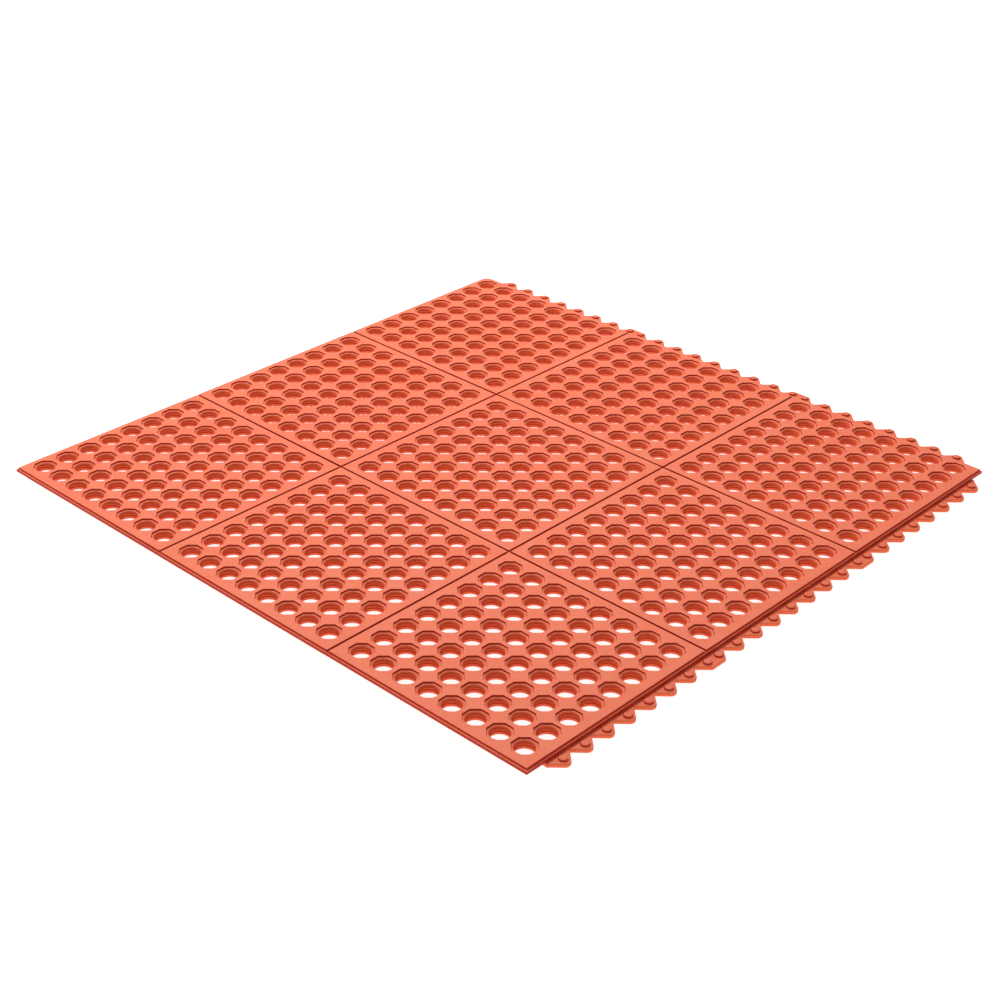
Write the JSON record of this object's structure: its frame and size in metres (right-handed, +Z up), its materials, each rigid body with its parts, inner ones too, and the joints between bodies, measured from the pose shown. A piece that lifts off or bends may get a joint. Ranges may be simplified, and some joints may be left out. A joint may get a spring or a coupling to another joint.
{
  "type": "interlocking drainage mat",
  "caption": "Square perforated rubber anti-fatigue floor mat that folds along straight grooves, with knobbed tabs on adjoining sides and a hooked lip on the others.",
  "frame": {"origin": "on the floor under the middle of the centre panel, at the flat bottom of that panel's middle foot", "axes": "+Z up out of the standing face, +X to the east tabbed side, +Y to the north tabbed side; the two fold lines run along Y"},
  "size_m": [0.9324, 0.9377, 0.019],
  "materials": {
    "deck": "satin moulded rubber",
    "edge": "satin moulded rubber",
    "web": "satin moulded rubber"
  },
  "bodies": {
    "middle_column": {"panel_south_middle": "deck", "panel_middle_middle": "deck", "panel_north_middle": "deck", "tab_edge_north_middle": "edge", "socket_lip_south_middle": "edge", "fold_web_west": "web", "bridge_tab_north_west": "edge", "cross_web_south_middle": "web", "fold_web_east": "web", "bridge_tab_north_east": "edge", "cross_web_north_middle": "web"},
    "east_column": {"panel_south_east": "deck", "panel_middle_east": "deck", "panel_north_east": "deck", "tab_edge_east_south": "edge", "tab_edge_east_middle": "edge", "tab_edge_north_east": "edge", "tab_edge_east_north": "edge", "socket_lip_south_east": "edge", "bridge_tab_east_south": "edge", "cross_web_south_east": "web", "bridge_tab_east_north": "edge", "cross_web_north_east": "web"},
    "west_column": {"panel_south_west": "deck", "panel_middle_west": "deck", "panel_north_west": "deck", "tab_edge_north_west": "edge", "socket_lip_south_west": "edge", "socket_lip_west_south": "edge", "socket_lip_west_middle": "edge", "socket_lip_west_north": "edge", "cross_web_south_west": "web", "cross_web_north_west": "web"}
  },
  "joints": [
    {"name": "fold_east", "type": "hinge", "parent": "middle_column", "child": "east_column", "pos_m": [0.1524, 0, 0.0164], "axis": [0, -1, 0], "range_deg": [-45, 60], "stiffness_Nm_per_rad": 6, "deforming": ["fold_web_east", "bridge_tab_north_east"]},
    {"name": "fold_west", "type": "hinge", "parent": "middle_column", "child": "west_column", "pos_m": [-0.1524, 0, 0.0164], "axis": [0, 1, 0], "range_deg": [-45, 60], "stiffness_Nm_per_rad": 6, "deforming": ["fold_web_west", "bridge_tab_north_west"]}
  ]
}
